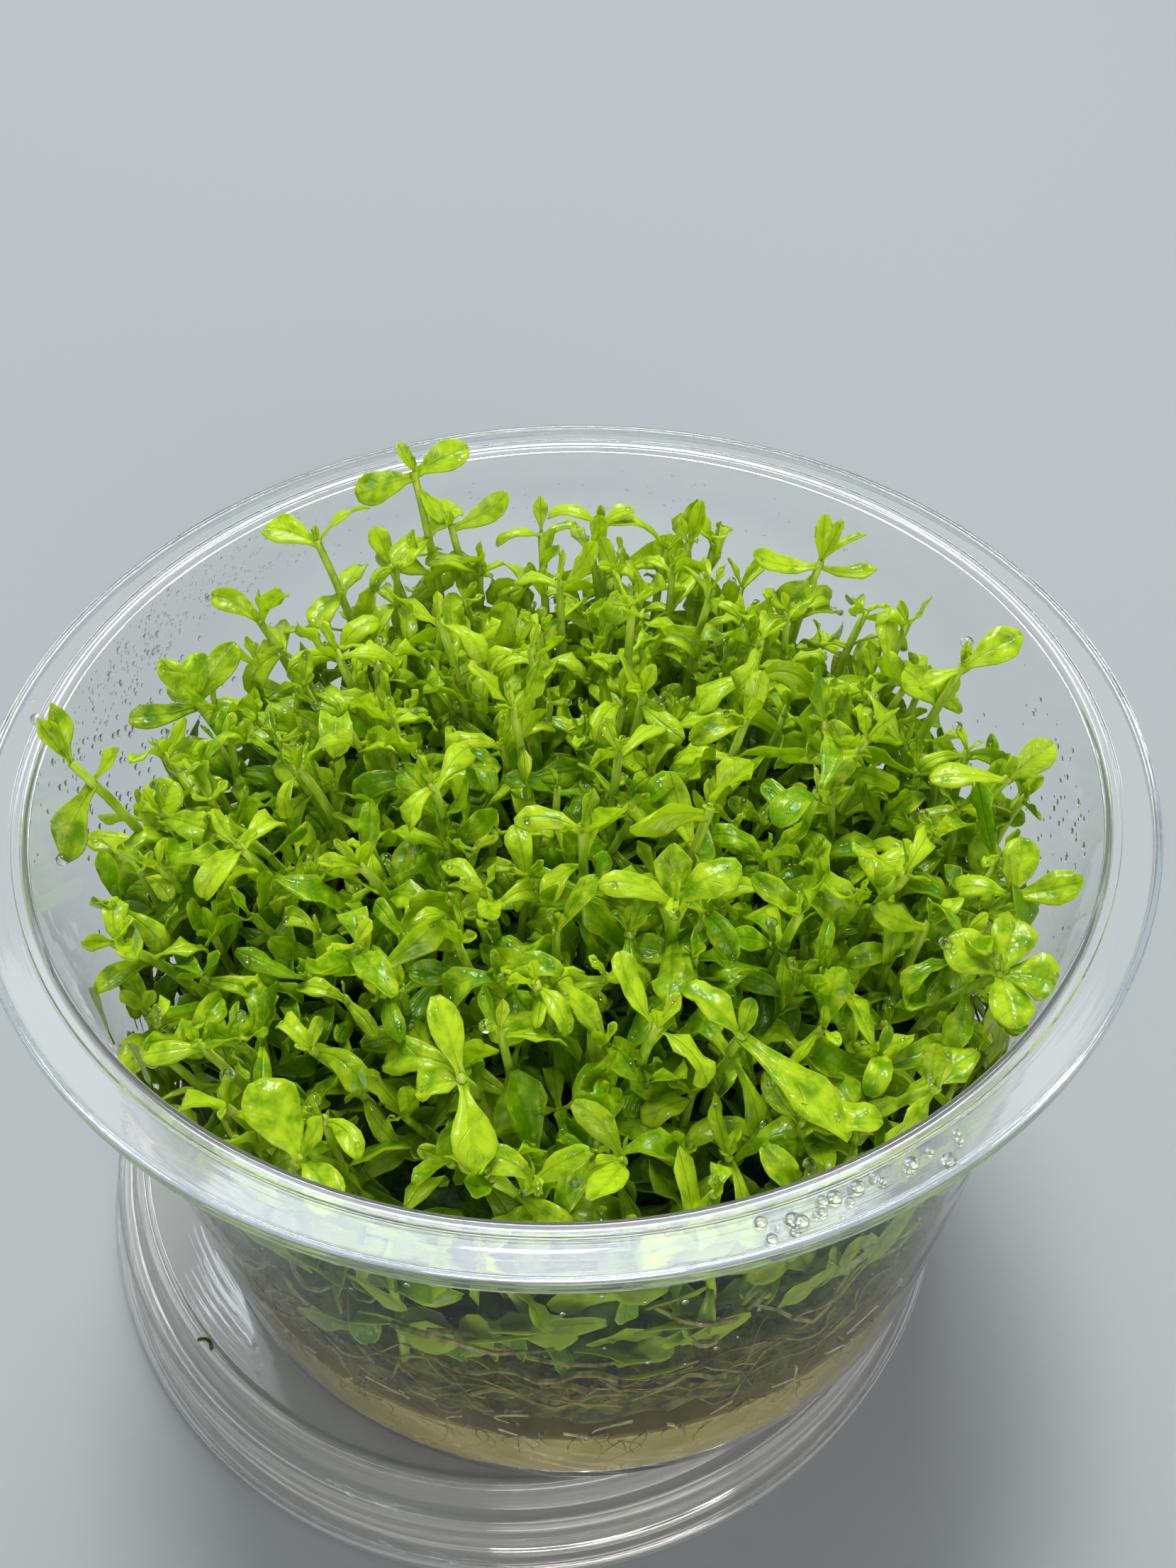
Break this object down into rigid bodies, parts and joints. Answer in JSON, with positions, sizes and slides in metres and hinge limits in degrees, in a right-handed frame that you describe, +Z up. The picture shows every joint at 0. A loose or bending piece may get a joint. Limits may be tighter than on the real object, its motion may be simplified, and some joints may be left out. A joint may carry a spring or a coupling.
{
  "type": "micranthemum in a clear culture cup",
  "caption": "Dense tuft of small-leaved micranthemum growing on gel in a clear round culture cup that stands on its own clear lid.",
  "frame": {"origin": "on the surface that the lid lies on, under the middle of the whole object's bounding box", "axes": "+Z up along the cup's axis, +Y away from the viewer of the picture, +X to that viewer's right"},
  "size_m": [0.1118, 0.1072, 0.0794],
  "materials": {
    "clear_cup": "polished",
    "clear_lid": "polished",
    "gel": "gloss",
    "roots": "matte",
    "bed_leaves": "satin",
    "shoot_leaves": "gloss"
  },
  "bodies": {
    "root": {"cup": "clear_cup", "lid": "clear_lid", "gel": "gel", "root_mat": "roots", "leaf_bed": "bed_leaves", "shoot_back_left_tall": "shoot_leaves", "shoot_back_left": "shoot_leaves", "shoot_left_back": "shoot_leaves", "shoot_far_left": "shoot_leaves", "shoot_left_front": "shoot_leaves", "shoot_back_middle": "shoot_leaves", "shoot_back_arch": "shoot_leaves", "shoot_back_pointed": "shoot_leaves", "shoot_back_right_tall": "shoot_leaves", "shoot_right_back": "shoot_leaves", "shoot_right_tall": "shoot_leaves", "shoot_right": "shoot_leaves", "shoot_right_low": "shoot_leaves", "shoot_right_front": "shoot_leaves", "shoot_front_left_big": "shoot_leaves", "shoot_front": "shoot_leaves", "shoot_front_long_leaf": "shoot_leaves", "shoot_front_right": "shoot_leaves", "shoot_01": "shoot_leaves", "shoot_02": "shoot_leaves", "shoot_03": "shoot_leaves", "shoot_04": "shoot_leaves", "shoot_05": "shoot_leaves", "shoot_06": "shoot_leaves", "shoot_07": "shoot_leaves", "shoot_08": "shoot_leaves", "shoot_09": "shoot_leaves", "shoot_10": "shoot_leaves", "shoot_11": "shoot_leaves", "shoot_12": "shoot_leaves", "shoot_13": "shoot_leaves", "shoot_14": "shoot_leaves", "shoot_15": "shoot_leaves", "shoot_16": "shoot_leaves", "shoot_17": "shoot_leaves", "shoot_18": "shoot_leaves", "shoot_19": "shoot_leaves", "shoot_20": "shoot_leaves", "shoot_21": "shoot_leaves", "shoot_22": "shoot_leaves", "shoot_23": "shoot_leaves", "shoot_24": "shoot_leaves", "shoot_25": "shoot_leaves", "shoot_26": "shoot_leaves", "shoot_27": "shoot_leaves"}
  },
  "joints": []
}
